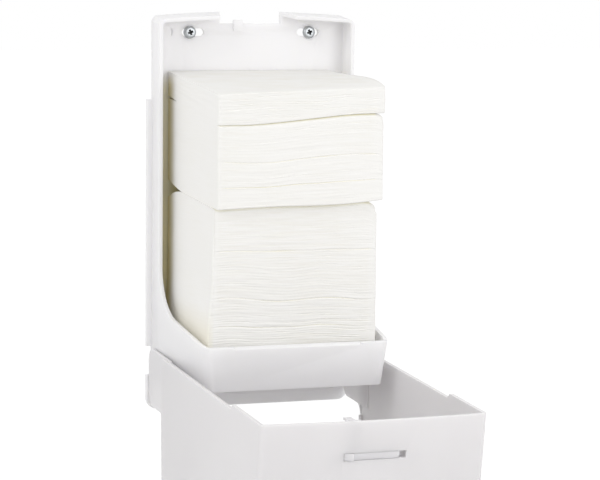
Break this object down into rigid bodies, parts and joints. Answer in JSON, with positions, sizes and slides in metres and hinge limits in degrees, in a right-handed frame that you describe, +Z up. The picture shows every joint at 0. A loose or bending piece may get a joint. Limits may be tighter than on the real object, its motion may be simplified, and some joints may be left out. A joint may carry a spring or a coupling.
{
  "type": "interfold toilet paper dispenser",
  "caption": "White wall dispenser for interfolded toilet paper, with a flanged back plate and tray, a cover that swings down on ears, a sliding lock and stacked paper packs.",
  "frame": {"origin": "on the wall plane, on the centre line, at the height of the cover's hinge axis", "axes": "+X to the right seen from the front, +Y into the wall, +Z up"},
  "size_m": [0.1474, 0.2561, 0.349],
  "materials": {
    "shell": "satin",
    "lock": "satin",
    "screws": "zinc plated",
    "tissue": "matt"
  },
  "bodies": {
    "plate": {"back_plate": "shell", "wall_screws": "screws", "paper_pack_lower": "tissue", "paper_pack_middle": "tissue", "paper_pack_top": "tissue"},
    "cover": {"cover": "shell", "lock_retainer": "lock", "lock_screws": "screws"},
    "lock": {"lock_slide": "lock"}
  },
  "joints": [
    {"name": "cover_hinge", "type": "hinge", "parent": "plate", "child": "cover", "pos_m": [0, -0.0127, 0], "axis": [-1, 0, 0], "range_deg": [0, 93]},
    {"name": "lock_slide_travel", "type": "slide", "parent": "cover", "child": "lock", "axis": [1, 0, 0], "range_m": [0, 0.0045]}
  ]
}
